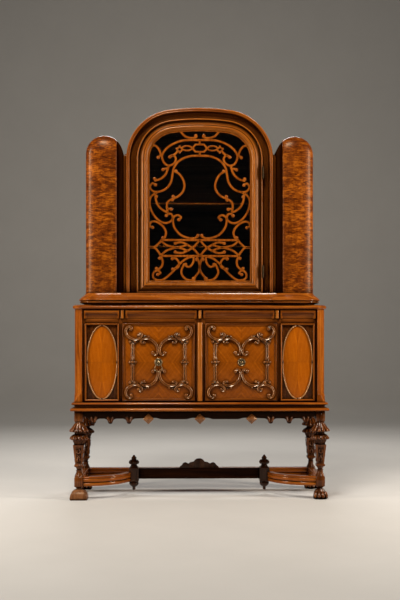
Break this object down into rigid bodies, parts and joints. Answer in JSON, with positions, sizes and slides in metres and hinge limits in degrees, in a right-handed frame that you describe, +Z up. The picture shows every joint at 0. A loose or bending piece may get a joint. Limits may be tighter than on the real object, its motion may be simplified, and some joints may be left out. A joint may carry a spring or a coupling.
{
  "type": "display cabinet on stand",
  "caption": "Arched glazed display cabinet with fretwork door and bowed side columns, over a cupboard with frieze drawers, on a carved stand with curved stretchers.",
  "frame": {"origin": "on the floor, at the centre of the outline seen from above", "axes": "+Z up, -Y towards the person who opens the doors, +X to that person's right as they face the cabinet"},
  "size_m": [1.236, 0.422, 1.86],
  "materials": {
    "walnut": "warm red-brown stained walnut under glossy varnish",
    "dark_walnut": "very dark brown stained wood under glossy varnish",
    "veneer": "golden matched walnut veneer under glossy varnish",
    "burl": "mottled burl and flame veneer under glossy varnish",
    "inside_wood": "plain unpolished stained wood",
    "brass": "aged and dulled",
    "iron": "dark oiled iron",
    "glass": "clear polished"
  },
  "bodies": {
    "cabinet": {"apron_front": "dark_walnut", "apron_left": "dark_walnut", "apron_rear": "dark_walnut", "apron_right": "dark_walnut", "arch_case": "walnut", "arch_face_frame": "walnut", "base_board": "walnut", "case_back": "inside_wood", "case_side_left": "walnut", "case_side_right": "walnut", "column_left": "burl", "column_right": "burl", "corner_post_left": "walnut", "corner_post_right": "walnut", "cupboard_shelf": "inside_wood", "display_shelf_lower": "walnut", "display_shelf_upper": "walnut", "dust_board": "inside_wood", "front_frame": "walnut", "hinge_lower_fixed": "brass", "hinge_upper_fixed": "brass", "ledge_board": "walnut", "leg_front_left": "dark_walnut", "leg_front_right": "dark_walnut", "leg_rear_left": "dark_walnut", "leg_rear_right": "dark_walnut", "oval_panel_left": "veneer", "oval_panel_right": "veneer", "pivot_hinge_bottom_left": "iron", "pivot_hinge_bottom_right": "iron", "pivot_hinge_top_left": "iron", "pivot_hinge_top_right": "iron", "stretcher_beam": "dark_walnut", "stretcher_bow_left": "walnut", "stretcher_bow_right": "walnut", "stretcher_crest": "dark_walnut", "stretcher_post_left": "dark_walnut", "stretcher_post_right": "dark_walnut", "stretcher_rear": "walnut", "stretcher_side_left": "walnut", "stretcher_side_right": "walnut", "upper_back": "inside_wood", "waist_board": "walnut", "wing_shell_left": "walnut", "wing_shell_right": "walnut"},
    "glass_door": {"glass_door_frame": "walnut", "door_glass": "glass", "door_fretwork": "walnut", "key_escutcheon": "brass", "lock_case": "iron", "hinge_upper_moving": "brass", "hinge_lower_moving": "brass"},
    "lock_bolt": {"lock_bolt": "brass"},
    "lower_door_left": {"lower_door_left": "veneer", "pull_plate_left": "brass"},
    "pull_ring_left": {"pull_ring_left": "brass"},
    "lower_door_right": {"lower_door_right": "veneer", "pull_plate_right": "brass"},
    "frieze_drawer_left": {"frieze_drawer_left": "walnut"},
    "frieze_drawer_right": {"frieze_drawer_right": "walnut"}
  },
  "joints": [
    {"name": "glass_door_hinge", "type": "hinge", "parent": "cabinet", "child": "glass_door", "pos_m": [0.301, -0.156, 1.315], "axis": [0, 0, 1], "range_deg": [0, 110]},
    {"name": "lock_bolt_slide", "type": "slide", "parent": "glass_door", "child": "lock_bolt", "axis": [-1, 0, 0], "range_m": [0, 0.008]},
    {"name": "lower_door_left_hinge", "type": "hinge", "parent": "cabinet", "child": "lower_door_left", "pos_m": [-0.362, -0.187, 0.649], "axis": [0, 0, -1], "range_deg": [0, 100]},
    {"name": "lower_door_right_hinge", "type": "hinge", "parent": "cabinet", "child": "lower_door_right", "pos_m": [0.362, -0.187, 0.649], "axis": [0, 0, 1], "range_deg": [0, 100]},
    {"name": "pull_ring_left_swing", "type": "hinge", "parent": "lower_door_left", "child": "pull_ring_left", "pos_m": [-0.196, -0.196, 0.638], "axis": [-1, 0, 0], "range_deg": [0, 85]},
    {"name": "frieze_drawer_left_slide", "type": "slide", "parent": "cabinet", "child": "frieze_drawer_left", "axis": [0, -1, 0], "range_m": [0, 0.22]},
    {"name": "frieze_drawer_right_slide", "type": "slide", "parent": "cabinet", "child": "frieze_drawer_right", "axis": [0, -1, 0], "range_m": [0, 0.22]}
  ]
}
